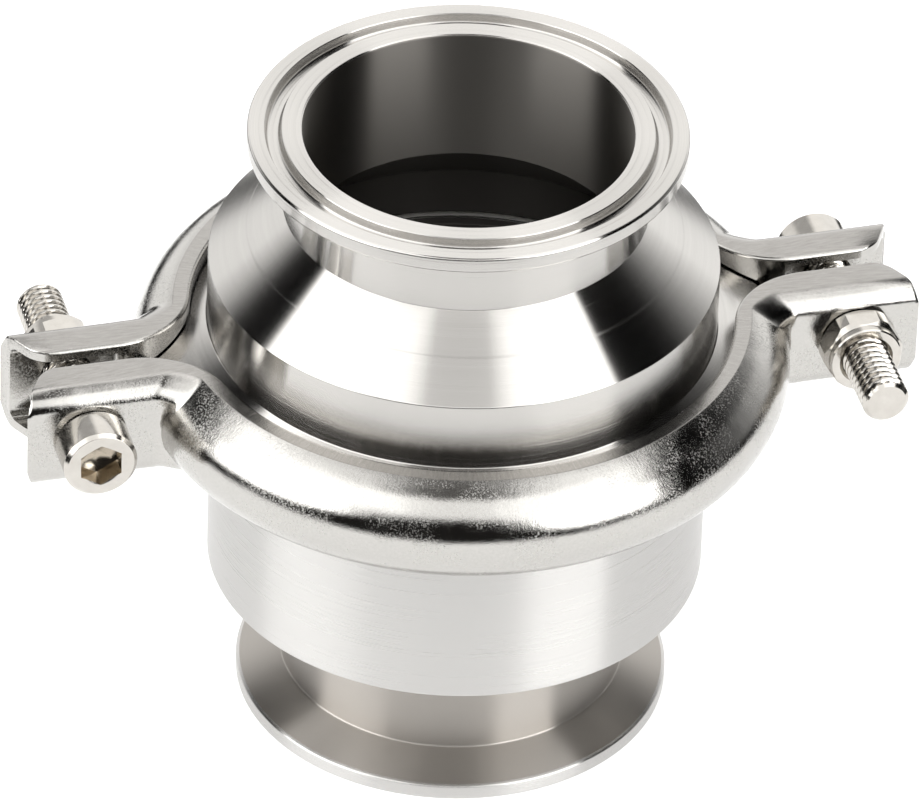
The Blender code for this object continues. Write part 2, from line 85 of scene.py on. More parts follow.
# Bodies
UPPER_NECK_R = 26.6 * MM
UPPER_NECK_BOTTOM = 85.1 * MM
UPPER_CONE_BOTTOM = 75.6 * MM
UPPER_R = 37.3 * MM
UPPER_BORE_BOTTOM = 76.8 * MM
CHAMBER_R = 34 * MM
JOINT_RIM = 2.85 * MM
JOINT_FACE = 0.9 * MM             # from the joint's middle plane to each ferrule's face
JOINT_GROOVE_R = 41.6 * MM
LOWER_R = 36.6 * MM
LOWER_SHOULDER = 22.7 * MM
LOWER_NECK_R = 25.4 * MM
LOWER_CHAMBER_R = 33.4 * MM
SEAT_Z = 41 * MM                  # small end of the 45 degree seat
RIDGE_R = 22.3 * MM
RIDGE_TOP = 36.8 * MM
RIDGE_BOTTOM = 34.5 * MM
SNAP_GROOVE_R = 25 * MM
SNAP_GROOVE_TOP = 28.9 * MM
SNAP_GROOVE_BOTTOM = 27.5 * MM

# Clamp
LIP_R = 39.8 * MM
FLARE_R = 13.3 * MM               # where the ring's lip turns out into the lug's
LUG_DEPTH = 7.65 * MM             # lip to the outer face of the lug's web
LUG_HALF_HEIGHT = 8.1 * MM
LUG_BEND = 3.1 * MM
LUG_WALL = 1.6 * MM
WEB_WALL = 2.4 * MM
LUG_SLANT = 4.2 * MM              # how much further the web reaches than the lip
LUG_TIP = LUG_END + 0.38 * MM     # where the slanted end would meet the web unrounded
WEB_CORNER = 0.9 * MM             # rounding of the slanted end at the web
LIP_CORNER = 2.4 * MM             # and at the lip
END_EDGE = 0.3 * MM
LIP_EDGE = 0.55 * MM
CREASE_FILLET = 0.9 * MM          # where a lug's web runs into the ring's crown
EDGE_FILLET = 7 * MM              # the same at the lug's rounded upper and lower edges
RING_CROWN_R = 8.8 * MM
RING_DEPTH = CLAMP_HIGH.y - LIP_R
CLAMP_GROOVE_R = 46.1 * MM
POCKET_START = 49.5 * MM

# Screws and nuts
BOLT_R = 3.5 * MM
BOLT_PITCH = 1.25 * MM
BOLT_HOLE_R = 3.9 * MM
SEAT_GAP = 0.3 * MM               # between a head or nut and the lug, as in the CAD
HEAD_HEIGHT = 6.3 * MM
SOCKET_FLATS = 6 * MM
SOCKET_MOUTH_R = 0.575 * SOCKET_FLATS
SOCKET_DEPTH = 3.2 * MM
NUT_FLATS = 11.1 * MM
NUT_HEIGHT = 5.0 * MM
NUT_COLLAR = 1.2 * MM             # round part at the outer face
THREAD_ROWS = 16                  # rows of points to a pitch
THREAD_DEPTH = 0.46               # of a pitch
THREAD_CREST = 0.17               # half width of the crest's flat, of a pitch
THREAD_FLANK = 0.22               # width of a flank, of a pitch

# Moving stack, guide and spring
STEM_R = 4 * MM
STEM_PITCH = 1.25 * MM
STEM_HOLE_R = 4.3 * MM
STEM_FLANGE_R = 8 * MM
STEM_FLANGE_BOTTOM = 35.5 * MM
STEM_FLANGE_TOP = 37.7 * MM
RETAINER_R = 23.3 * MM
RETAINER_TOP = 41.2 * MM
RETAINER_BOTTOM = 38 * MM
SEAL_R = 23.5 * MM
SEAL_Z = 43.35 * MM
SEAL_SECTION_R = 1.8 * MM
DISC_R = 27.6 * MM
DISC_HUB_R = 21.3 * MM
DISC_SHELF = 45.45 * MM
DISC_RIM_TOP = 48 * MM
DISC_TOP = 50 * MM
STEM_NUT_FLATS = 13 * MM
STEM_NUT_HEIGHT = 4 * MM
SPIDER_R = 23.7 * MM
SPIDER_INNER_R = 21 * MM
SPIDER_TOP = 34.2 * MM
SPIDER_BOTTOM = 29.2 * MM
ARM_WIDTH = 3.2 * MM
HUB_R = 8 * MM
HUB_BORE_R = 5.9 * MM
HUB_TOP = 35.2 * MM
HUB_BOTTOM = 27 * MM
BUSH_R = 5.6 * MM
BUSH_FLANGE_R = 8.6 * MM
SPRING_R = 7.4 * MM
SPRING_WIRE_R = 0.6 * MM
SPRING_TURNS = 6
COLLAR_R = 9.4 * MM
COLLAR_TOP = 7.6 * MM
COLLAR_BOTTOM = 6.1 * MM
SNAP_RING_R = 24.6 * MM

# Camera, on a sphere round a point of the axis
CAMERA_AZIMUTH = math.radians(-15.63)
CAMERA_ELEVATION = math.radians(36.55)
CAMERA_ROLL = math.radians(2.02)
CAMERA_DISTANCE = 1667.5 * MM
CAMERA_LENS = 444.6               # millimetres, on a 36 mm sensor
CAMERA_AIM_Z = 53 * MM
CAMERA_OFFSET = (-0.09 * MM, 3.08 * MM)

TENT_RADIUS = 5000 * MM
TENT_FOOT = (0.02, 0.019, 0.018)
TENT_DIM_TOP = (0.16, 0.155, 0.15)
TENT_BRIGHT_CAP = (1.5, 1.485, 1.46)   # what flat faces show
FLOOR_RADIUS = 220 * MM           # past its edge the clamp mirrors the tent's dark foot

# Finish: heights of tool lines and skin, roughness inside the pieces, and linear colours of painted
# shade inside the pieces, on the inlet ferrule, inside the clamp and in the sockets
TOOL_LINE_HEIGHT = 0.0007 * MM
SKIN_HEIGHT = 0.01 * MM
BORE_SHADE_COLOUR = (0.20, 0.19, 0.176)
CHAMBER_SHADE_COLOUR = (0.085, 0.08, 0.074)
BORE_ROUGHNESS = 0.4
INLET_SHADE_COLOUR = (0.38, 0.358, 0.333)
INLET_ROUGHNESS = 0.3
CLAMP_INSIDE_SHADE_COLOUR = (0.10, 0.094, 0.088)
SOCKET_SHADE_COLOUR = (0.40, 0.355, 0.29)


# ---------------------------------------------------------------- mesh tools

def rounded(corners, closed=True):
    """(radius, z) points through (radius, z, fillet) corners, each cut by an arc."""
    count = len(corners)
    points = []
    for index, (r, z, fillet) in enumerate(corners):
        inner = closed or 0 < index < count - 1
        if not inner or fillet == 0:
            points.append((r, z))
            continue
        here = Vector((r, z))
        before = Vector(corners[index - 1][:2]) - here
        after = Vector(corners[(index + 1) % count][:2]) - here
        opening = before.angle(after)
        reach = fillet / math.tan(opening / 2)
        centre = here + (before.normalized() + after.normalized()).normalized() * (
            fillet / math.sin(opening / 2))
        start = here + before.normalized() * reach - centre
        turn = start.angle_signed(here + after.normalized() * reach - centre)
        parts = max(2, math.ceil(abs(turn) / ARC_STEP))
        hold = min(0.4 * fillet, 0.5 * (before.length - reach), 0.5 * (after.length - reach))
        if hold > 0.01 * MM:
            points.append(tuple(here + before.normalized() * (reach + hold)))
        for step in range(parts + 1):
            spot = Matrix.Rotation(-turn * step / parts, 2) @ start + centre
            points.append(tuple(spot))
        if hold > 0.01 * MM:
            points.append(tuple(here + after.normalized() * (reach + hold)))
    return points


def add_object(name, mesh):
    obj = bpy.data.objects.new(name, mesh)
    bpy.context.scene.collection.objects.link(obj)
    return obj


def mesh_object(name, bm):
    """An object from a bmesh, which is freed."""
    mesh = bpy.data.meshes.new(name)
    bm.to_mesh(mesh)
    bm.free()
    return add_object(name, mesh)


def bridge(bm, loops):
    """Faces between following loops of vertices; vertices that coincide are taken once."""
    for first, second in zip(loops, loops[1:]):
        for here in range(len(first)):
            ahead = (here + 1) % len(first)
            corners = dict.fromkeys((first[here], first[ahead], second[ahead], second[here]))
            if len(corners) > 2:
                bm.faces.new(list(corners))


def smooth(obj, angle=SHARP):
    """Smooth shading that keeps corners above an angle."""
    obj.data.shade_smooth()
    obj.data.set_sharp_from_angle(angle=angle)


def swept(name, rows, steps=ROUND_STEPS, closed=True):
    """Mesh from rows of points round Z; a row is a (radius, z) pair or a function of angle.

    Closed rows make a ring. Open rows start and end on the axis.
    """
    bm = bmesh.new()
    loops = []
    for row in rows:
        if not callable(row) and row[0] == 0:
            loops.append([bm.verts.new((0, 0, row[1]))] * steps)
            continue
        loop = []
        for step in range(steps):
            angle = 2 * math.pi * step / steps
            r, z = row(angle) if callable(row) else row
            loop.append(bm.verts.new((r * math.cos(angle), r * math.sin(angle), z)))
        loops.append(loop)
    bridge(bm, loops + loops[:1] if closed else loops)
    bmesh.ops.recalc_face_normals(bm, faces=bm.faces)
    obj = mesh_object(name, bm)
    smooth(obj)
    return obj


def turned(name, corners, steps=ROUND_STEPS, closed=True):
    """A turned piece from (radius, z, fillet) corners."""
    return swept(name, rounded(corners, closed), steps, closed)


def evaluated_mesh(obj):
    graph = bpy.context.evaluated_depsgraph_get()
    return bpy.data.meshes.new_from_object(obj.evaluated_get(graph))


def boolean(obj, cutters, operation="DIFFERENCE"):
    """Cut or join objects exactly, then remove them."""
    for cutter in cutters:
        mod = obj.modifiers.new(operation.lower(), "BOOLEAN")
        mod.operation = operation
        mod.solver = "EXACT"
        mod.object = cutter
    mesh = evaluated_mesh(obj)
    obj.modifiers.clear()
    obj.data = mesh
    for cutter in cutters:
        bpy.data.objects.remove(cutter, do_unlink=True)


def rounded_box(name, low, high, radius, segments=4):
    """A box between two corners with rounded edges."""
    bm = bmesh.new()
    bmesh.ops.create_cube(bm, size=1)
    bmesh.ops.scale(bm, verts=bm.verts, vec=[b - a for a, b in zip(low, high)])
    bmesh.ops.translate(bm, verts=bm.verts, vec=[(a + b) / 2 for a, b in zip(low, high)])
    bmesh.ops.bevel(bm, geom=bm.edges, offset=radius, segments=segments, profile=0.5,
                    affect="EDGES")
    return mesh_object(name, bm)


def arc(x, y, radius, start, end, points):
    """Points of an arc round (x, y), angles in degrees from the first axis."""
    angles = [math.radians(start + (end - start) * i / (points - 1)) for i in range(points)]
    return [(x + radius * math.cos(a), y + radius * math.sin(a)) for a in angles]


def hexagon(flats, flat_at, blunt=1.0):
    """Radius of a hexagon as a function of angle; blunt is the share of its corners left."""
    sixth = math.pi / 3

    def radius(angle):
        off = (angle - flat_at + sixth / 2) % sixth - sixth / 2
        return min(flats / 2 / math.cos(off), blunt * flats / math.sqrt(3))
    return radius


def thread_rows(radius, pitch, top, bottom, tip_chamfer=0.0):
    """Rows of a right-hand thread from top to bottom, run out at both ends."""
    depth = THREAD_DEPTH * pitch
    count = round((top - bottom) / pitch * THREAD_ROWS)

    def row(z):
        def point(angle):
            phase = (z / pitch - angle / (2 * math.pi)) % 1
            off = abs(phase - 0.5)
            cut = min(1, max(0, (off - THREAD_CREST) / THREAD_FLANK))
            fade = min(1, (top - z) / pitch, (z - bottom) / (0.3 * pitch))
            r = radius - depth * cut * max(0, fade)
            if tip_chamfer:
                r = min(r, radius - tip_chamfer + (z - bottom))
            return r, z
        return point
    return [row(top + (bottom - top) * i / count) for i in range(count + 1)]


# ---------------------------------------------------------------- valve bodies

def face_groove(centre, face, into):
    """Gasket groove in a ferrule's face, from the inside out; into is -1 down or +1 up."""
    floor = face + into * GROOVE_DEPTH
    slope = 0.35 * MM
    return [(centre - GROOVE_HALF, face, 0.15 * MM),
            (centre - GROOVE_HALF + slope, floor, 0.45 * MM),
            (centre + GROOVE_HALF - slope, floor, 0.45 * MM),
            (centre + GROOVE_HALF, face, 0.15 * MM)]


def ferrule_side(rim_r, face, thickness, neck_r, into):
    """From a ferrule's face over its rim and along its 20 degree back to the neck."""
    back = face + into * thickness
    return [(rim_r, face, RIM_EDGE), (rim_r, back, RIM_EDGE),
            (neck_r, back + into * (rim_r - neck_r) * FERRULE_SLOPE, SOFT)]


def upper_body():
    joint_face = JOINT_Z + JOINT_FACE
    corners = [(BORE_R, HEIGHT, RIM_EDGE)]
    corners += face_groove(GROOVE_R, HEIGHT, -1)
    corners += ferrule_side(FERRULE_R, HEIGHT, FERRULE_RIM, UPPER_NECK_R, -1)
    corners += [(UPPER_NECK_R, UPPER_NECK_BOTTOM, 0.15 * MM),
                (UPPER_R, UPPER_CONE_BOTTOM, 0.25 * MM)]
    corners += reversed(ferrule_side(JOINT_R, joint_face, JOINT_RIM, UPPER_R, +1))
    corners += reversed(face_groove(JOINT_GROOVE_R, joint_face, +1))
    cone_bottom = UPPER_BORE_BOTTOM - (CHAMBER_R - BORE_R)
    corners += [(CHAMBER_R, joint_face, FINE), (CHAMBER_R, cone_bottom, 0.5 * MM),
                (BORE_R, UPPER_BORE_BOTTOM, FINE)]
    return turned("upper_body_turned", corners)


def lower_body():
    joint_face = JOINT_Z - JOINT_FACE
    seat_top = SEAT_Z + LOWER_CHAMBER_R - BORE_R
    corners = [(LOWER_CHAMBER_R, seat_top, 0.5 * MM), (LOWER_CHAMBER_R, joint_face, FINE)]
    corners += face_groove(JOINT_GROOVE_R, joint_face, -1)
    corners += ferrule_side(JOINT_R, joint_face, JOINT_RIM, LOWER_R, -1)
    corners += [(LOWER_R, LOWER_SHOULDER, 0.4 * MM), (LOWER_NECK_R, LOWER_SHOULDER, SOFT)]
    corners += reversed(ferrule_side(FERRULE_R, 0, FERRULE_RIM, LOWER_NECK_R, +1))
    corners += reversed(face_groove(GROOVE_R, 0, +1))
    corners += [(BORE_R, 0, RIM_EDGE)]
    corners += [(BORE_R, SNAP_GROOVE_BOTTOM, 0), (SNAP_GROOVE_R, SNAP_GROOVE_BOTTOM, 0),
                (SNAP_GROOVE_R, SNAP_GROOVE_TOP, 0), (BORE_R, SNAP_GROOVE_TOP, 0)]
    corners += [(BORE_R, RIDGE_BOTTOM, FINE), (RIDGE_R, RIDGE_BOTTOM, FINE),
                (RIDGE_R, RIDGE_TOP - 1 * MM, SOFT),
                (RIDGE_R + 1 * MM, RIDGE_TOP, SOFT), (BORE_R, RIDGE_TOP, FINE),
                (BORE_R, SEAT_Z, FINE)]
    return turned("lower_body_turned", corners)


def body_gasket():
    half = JOINT_FACE - SEAT_GAP
    bead = half + GROOVE_DEPTH - SEAT_GAP
    root, crest = 0.8 * MM, 0.5 * MM
    upper = [(35 * MM, half, 0.15 * MM), (JOINT_GROOVE_R - root, half, 0.1 * MM),
             (JOINT_GROOVE_R - crest, bead, SOFT), (JOINT_GROOVE_R + crest, bead, SOFT),
             (JOINT_GROOVE_R + root, half, 0.1 * MM), (45 * MM, half, 0.15 * MM)]
    lower = [(r, -z, fillet) for r, z, fillet in reversed(upper)]
    gasket = turned("body_gasket_ring", upper + lower)
    gasket.location.z = JOINT_Z
    return gasket


# ---------------------------------------------------------------- clamp

def lip_path():
    """Stations of the rear half's inner lip: point, outward direction, share of ring."""
    flare_x = math.sqrt((LIP_R + FLARE_R) ** 2 - (LIP_Y + FLARE_R) ** 2)
    flare_y = LIP_Y + FLARE_R
    tangent = math.atan2(flare_y, flare_x)
    lug_steps, flare_steps, ring_steps = 6, 48, 52
    start, end = LUG_END - LUG_SLANT - LIP_CORNER - 1 * MM, flare_x
    side = []
    for i in range(lug_steps):
        side.append(((start + (end - start) * i / lug_steps, LIP_Y), (0, 1), 0.0))
    for i in range(flare_steps):
        turn = i / flare_steps
        angle = -QUARTER - turn * (QUARTER - tangent)
        out = (-math.cos(angle), -math.sin(angle))
        side.append(((flare_x - FLARE_R * out[0], flare_y - FLARE_R * out[1]), out, turn))
    for i in range(ring_steps):
        angle = tangent + (QUARTER - tangent) * i / ring_steps
        out = (math.cos(angle), math.sin(angle))
        side.append(((LIP_R * out[0], LIP_R * out[1]), out, 1.0))
    middle = [((0, LIP_R), (0, 1), 1.0)]
    other = [((-x, y), (-ox, oy), share) for (x, y), (ox, oy), share in reversed(side)]
    return side + middle + other


def lug_reach(share):
    """Outward reach of a lug from its lip, at a share of its half height."""
    over = max(0.0, abs(share) * LUG_HALF_HEIGHT - (LUG_HALF_HEIGHT - LUG_BEND))
    return LUG_DEPTH - LUG_BEND + math.sqrt(max(0.0, LUG_BEND ** 2 - over ** 2))


def ring_reach(share):
    """Outward reach of the ring's round crown from its lip, at a share of its half height."""
    height = share * RING_HALF_HEIGHT
    return RING_DEPTH - RING_CROWN_R + math.sqrt(RING_CROWN_R ** 2 - height ** 2)


def blank_reach(point, out, share):
    """Reach from a lip point to the farther of lug web and ring crown, with a fillet."""
    (x, y), (ox, oy) = point, out
    web = (LIP_Y + lug_reach(share) - y) / oy
    along = x * ox + y * oy
    inside = along ** 2 - (x * x + y * y) + (LIP_R + ring_reach(share)) ** 2
    if inside <= 0:
        return web
    crown = math.sqrt(inside) - along
    level = min(1.0, max(0.0, (abs(share) - 0.25) / 0.6))
    blend = level * level * (3 - 2 * level)
    width = CREASE_FILLET + (EDGE_FILLET - CREASE_FILLET) * blend
    return max(web, crown) + max(0.0, width - abs(web - crown)) ** 2 / (4 * width)


def section(reach, half, edge=LIP_EDGE):
    """(outward, height) outline from the upper lip round the outside to the lower lip.

    reach gives how far the outside stands from the lip at a share of the half height.
    """
    upper = arc(edge, half - edge, edge, 180, 90, 6)
    flat = reach(1.0) - edge
    upper += [(edge + flat * part, half) for part in (0.04, 0.09, 0.15, 0.22, 0.4, 0.7, 0.9)]
    bend_start = 1 - LUG_BEND / LUG_HALF_HEIGHT
    turns = [QUARTER * (1 - i / 12) for i in range(13)]
    shares = [bend_start + (1 - bend_start) * math.sin(turn) for turn in turns]
    shares += [bend_start * part for part in (0.85, 0.65, 0.45, 0.22)]
    upper += [(reach(share), half * share) for share in shares]
    return upper + [(reach(0.0), 0)] + [(out, -up) for out, up in reversed(upper)]


def end_section(inset):
    """A lug's outline drawn in from all sides, for its broken end edges."""
    def reach(share):
        return max(lug_reach(share) - inset, inset + 0.01 * MM)

    edge = min(LIP_EDGE, 0.5 * (LUG_BEND - inset))
    outline = section(lambda share: reach(share) - inset, LUG_HALF_HEIGHT - inset, edge)
    return [(out + inset, up) for out, up in outline]


def end_retreat(out, up):
    """How far a lug's slanted end, rounded at lip and web, falls back at a depth and height."""
    bend = max(0.0, abs(up) - LUG_HALF_HEIGHT + LUG_BEND) / LUG_BEND
    corner = WEB_CORNER * (1 + 2.4 * bend)
    web = max(0.0, out - LUG_DEPTH + corner)
    lip = max(0.0, LIP_CORNER - out)
    rounding = corner - math.sqrt(max(0.0, corner ** 2 - web ** 2))
    rounding += LIP_CORNER - math.sqrt(max(0.0, LIP_CORNER ** 2 - lip ** 2))
    return LUG_SLANT * (1 - out / LUG_DEPTH) + rounding


def clamp_blank(name):
    """Loft along the lip: the farther of a lug's box and the ring's crown, ends slanted."""
    rows = []
    for point, out, share in lip_path():
        half = LUG_HALF_HEIGHT + (RING_HALF_HEIGHT - LUG_HALF_HEIGHT) * share
        outline = section(lambda level: blank_reach(point, out, level), half)
        rows.append([(point[0] + out[0] * reach, point[1] + out[1] * reach, up)
                     for reach, up in outline])
    ends = []
    for angle in (0, 30, 60, 90):
        inset = END_EDGE * (1 - math.sin(math.radians(angle)))
        reach = LUG_TIP - END_EDGE * (1 - math.cos(math.radians(angle)))
        ends.append([(reach - end_retreat(out, up), LIP_Y + out, up)
                     for out, up in end_section(inset)])
    rows = ends + rows + [[(-x, y, z) for x, y, z in row] for row in reversed(ends)]
    bm = bmesh.new()
    loops = [[bm.verts.new(point) for point in row] for row in rows]
    bridge(bm, loops)
    width = len(rows[0])
    for loop in (loops[0], loops[-1]):
        for j in range(width // 2 - 1):
            bm.faces.new((loop[j], loop[j + 1], loop[-j - 2], loop[-j - 1]))
        bm.faces.new(loop[width // 2 - 1:width // 2 + 2])
    bmesh.ops.recalc_face_normals(bm, faces=bm.faces)
    return mesh_object(name, bm)


def clamp_cutters():
    """V groove, the hollows behind the lugs and the screw holes with their broken edges."""
    def groove_height(radius):
        return JOINT_FACE + JOINT_RIM + SEAT_GAP + (JOINT_R - radius) * FERRULE_SLOPE

    inner = LIP_R - 3 * MM
    top_in, top_out = groove_height(inner), groove_height(CLAMP_GROOVE_R)
    cutters = [turned("groove_cutter", [
        (0, top_in, 0), (inner, top_in, 0), (CLAMP_GROOVE_R, top_out, 0.6 * MM),
        (CLAMP_GROOVE_R, -top_out, 0.6 * MM), (inner, -top_in, 0), (0, -top_in, 0)],
        closed=False)]
    pocket_half = LUG_HALF_HEIGHT - LUG_WALL
    web_inner, web_outer = LIP_Y + LUG_DEPTH - WEB_WALL, LIP_Y + LUG_DEPTH
    edge = 0.3 * MM
    for sign in (1, -1):
        near, far = sign * POCKET_START, sign * (LUG_END + 4 * MM)
        cutters.append(rounded_box("pocket_cutter", (min(near, far), -3 * MM, -pocket_half),
                                   (max(near, far), web_inner, pocket_half), 1.5 * MM))
        hole = turned("hole_cutter", [
            (0, web_outer + edge, 0), (BOLT_HOLE_R + 2 * edge, web_outer + edge, 0),
            (BOLT_HOLE_R, web_outer - edge, 0), (BOLT_HOLE_R, web_inner - 3 * MM, 0),
            (0, web_inner - 3 * MM, 0)], SMALL_STEPS, closed=False)
        hole.rotation_euler.x = -QUARTER
        hole.location.x = sign * BOLT_X
        cutters.append(hole)
    return cutters


def clamp_half(name, turn):
    half = clamp_blank(name)
    boolean(half, clamp_cutters())
    smooth(half, math.radians(24))
    half.location.z = JOINT_Z
    half.rotation_euler.z = turn
    return half


# ---------------------------------------------------------------- fasteners

def socket_screw(name, x, turn):
    """Socket head screw built along Z, head up, then laid along Y."""
    length = BOLT_TIP + LIP_Y + LUG_DEPTH + SEAT_GAP
    socket = hexagon(SOCKET_FLATS, 0)
    mouth_r = SOCKET_MOUTH_R
    floor = HEAD_HEIGHT - SOCKET_DEPTH

    def socket_wall(angle):
        return socket(angle), floor

    def socket_mouth(angle):
        return socket(angle), HEAD_HEIGHT - 0.3 * (mouth_r - socket(angle))

    edge, soft = 0.55 * MM, 0.1 * MM
    head = rounded([(mouth_r, HEAD_HEIGHT, 0), (HEAD_R - edge, HEAD_HEIGHT, soft),
                    (HEAD_R, HEAD_HEIGHT - edge, soft), (HEAD_R, edge, soft),
                    (HEAD_R - edge, 0, soft), (BOLT_R, 0, FINE), (BOLT_R, -1 * MM, 0)],
                   closed=False)
    rows = [(0, floor - 1.2 * MM), (0.4 * SOCKET_FLATS, floor - 0.2 * MM), socket_wall,
            socket_mouth]
    rows += head
    rows += thread_rows(BOLT_R, BOLT_PITCH, -1.5 * MM, -length, tip_chamfer=0.6 * MM)
    rows.append((0, -length))
    screw = swept(name, rows, SMALL_STEPS, closed=False)
    screw.rotation_euler.x = turn
    screw.location = (x, -math.copysign(LIP_Y + LUG_DEPTH + SEAT_GAP, turn), JOINT_Z)
    return screw


def hex_nut(name, flats, height, hole_r, collar=0.0):
    """Hexagon nut standing on Z = 0, chamfered at both faces and at its bore.

    A collar is turned round at the upper face.
    """
    outline = hexagon(flats, QUARTER, blunt=0.94)
    face_r = 0.97 * flats / 2

    def upper(angle):
        return outline(angle), height - collar - (outline(angle) - face_r)

    def lower(angle):
        return outline(angle), outline(angle) - face_r

    lead = 0.5 * MM
    rows = [(hole_r, lead), (hole_r, height - lead), (hole_r + lead, height)]
    if collar:
        edge = 0.2 * MM
        rows += [(face_r - edge, height), (face_r, height - edge), (face_r, height - collar)]
    else:
        rows.append((face_r, height))
    rows += [upper, lower, (face_r, 0), (hole_r + lead, 0)]
    nut = swept(name, rows, SMALL_STEPS)
    smooth(nut, math.radians(20))
    return nut


def clamp_nut(name, x, turn):
    nut = hex_nut(name, NUT_FLATS, NUT_HEIGHT, BOLT_R + 0.05 * MM, NUT_COLLAR)
    nut.rotation_euler.x = -turn
    nut.location = (x, math.copysign(LIP_Y + LUG_DEPTH + SEAT_GAP, turn), JOINT_Z)
    return nut


# ---------------------------------------------------------------- moving stack

def valve_disc():
    corners = [(STEM_HOLE_R, DISC_TOP, FINE), (STEM_FLANGE_R + 1 * MM, DISC_TOP, 0.5 * MM),
               (DISC_R - 1 * MM, DISC_RIM_TOP, 0.6 * MM), (DISC_R, DISC_RIM_TOP - 1 * MM, 0.4 * MM),
               (DISC_R, DISC_SHELF, 0.4 * MM), (DISC_HUB_R, DISC_SHELF, SOFT),
               (DISC_HUB_R, RETAINER_TOP + SEAT_GAP, FINE),
               (STEM_HOLE_R, RETAINER_TOP + SEAT_GAP, FINE)]
    return turned("valve_disc_turned", corners)


def disc_seal():
    return swept("disc_seal_ring", arc(SEAL_R, SEAL_Z, SEAL_SECTION_R, 0, 345, 24))


def seal_retainer():
    corners = [(STEM_HOLE_R, RETAINER_TOP, FINE), (RETAINER_R, RETAINER_TOP, FINE),
               (RETAINER_R - 0.8 * MM, RETAINER_TOP - 1.2 * MM, 0.4 * MM),
               (RETAINER_R - 2 * MM, RETAINER_BOTTOM, 0.4 * MM),
               (STEM_HOLE_R, RETAINER_BOTTOM, FINE)]
    return turned("seal_retainer_turned", corners)


def stem():
    edge = 0.5 * MM
    rows = [(0, STEM_TOP), (STEM_R - 1.5 * edge, STEM_TOP)]
    rows += [(STEM_R - edge, STEM_TOP - 0.5 * edge)]
    rows += thread_rows(STEM_R, STEM_PITCH, STEM_TOP - edge, DISC_TOP - 1 * MM)
    rows += rounded([(STEM_R, DISC_TOP - 2 * MM, 0), (STEM_R, STEM_FLANGE_TOP, FINE),
                     (STEM_FLANGE_R, STEM_FLANGE_TOP, SOFT),
                     (STEM_FLANGE_R, STEM_FLANGE_BOTTOM, SOFT),
                     (STEM_R, STEM_FLANGE_BOTTOM, FINE),
                     (STEM_R, COLLAR_TOP + 1 * MM, 0)], closed=False)
    rows += thread_rows(STEM_R, STEM_PITCH, COLLAR_TOP, STEM_BOTTOM, tip_chamfer=edge)
    rows.append((0, STEM_BOTTOM))
    return swept("stem_turned", rows, SMALL_STEPS, closed=False)


def spring_collar():
    boss_r = SPRING_R - SPRING_WIRE_R - 0.5 * MM
    boss_top = COLLAR_TOP + 0.8 * MM
    corners = [(STEM_HOLE_R, boss_top, FINE), (boss_r, boss_top, FINE),
               (boss_r, COLLAR_TOP, 0.1 * MM), (COLLAR_R, COLLAR_TOP, SOFT),
               (COLLAR_R, COLLAR_BOTTOM, SOFT), (STEM_HOLE_R, COLLAR_BOTTOM, FINE)]
    return turned("spring_collar_turned", corners, SMALL_STEPS)


def stem_nut(name, bottom):
    nut = hex_nut(name, STEM_NUT_FLATS, STEM_NUT_HEIGHT, STEM_R + 0.05 * MM)
    nut.location.z = bottom
    return nut


# ---------------------------------------------------------------- guide and spring

def guide_spider():
    spider = turned("guide_spider_welded", [
        (SPIDER_INNER_R, SPIDER_TOP, 0.4 * MM), (SPIDER_R, SPIDER_TOP, 0.4 * MM),
        (SPIDER_R, SPIDER_BOTTOM, 0.4 * MM), (SPIDER_INNER_R, SPIDER_BOTTOM, 0.4 * MM)])
    hub = turned("spider_hub", [
        (HUB_BORE_R, HUB_TOP, FINE), (HUB_R, HUB_TOP, 0.5 * MM),
        (HUB_R, HUB_BOTTOM, SOFT), (HUB_BORE_R, HUB_BOTTOM, FINE)], SMALL_STEPS)
    arm_low = (HUB_R - 1 * MM, -ARM_WIDTH / 2, SPIDER_BOTTOM + 0.4 * MM)
    arm_high = (SPIDER_INNER_R + 1 * MM, ARM_WIDTH / 2, SPIDER_TOP - 0.4 * MM)
    arms = []
    for index in range(3):
        arms.append(rounded_box("spider_arm", arm_low, arm_high, 0.8 * MM))
        arms[-1].rotation_euler.z = QUARTER + index * 2 * math.pi / 3
    boolean(spider, arms + [hub], "UNION")
    smooth(spider)
    return spider


def guide_bush():
    top = HUB_TOP - 0.6 * MM
    flange_top = HUB_BOTTOM - SEAT_GAP
    flange_bottom = SPRING_HIGH.z + SEAT_GAP
    corners = [(STEM_HOLE_R, top, SOFT), (BUSH_R, top, SOFT),
               (BUSH_R, flange_top, 0.1 * MM), (BUSH_FLANGE_R, flange_top, FINE),
               (BUSH_FLANGE_R, flange_bottom, FINE),
               (STEM_HOLE_R, flange_bottom, SOFT)]
    return turned("guide_bush_turned", corners, SMALL_STEPS)


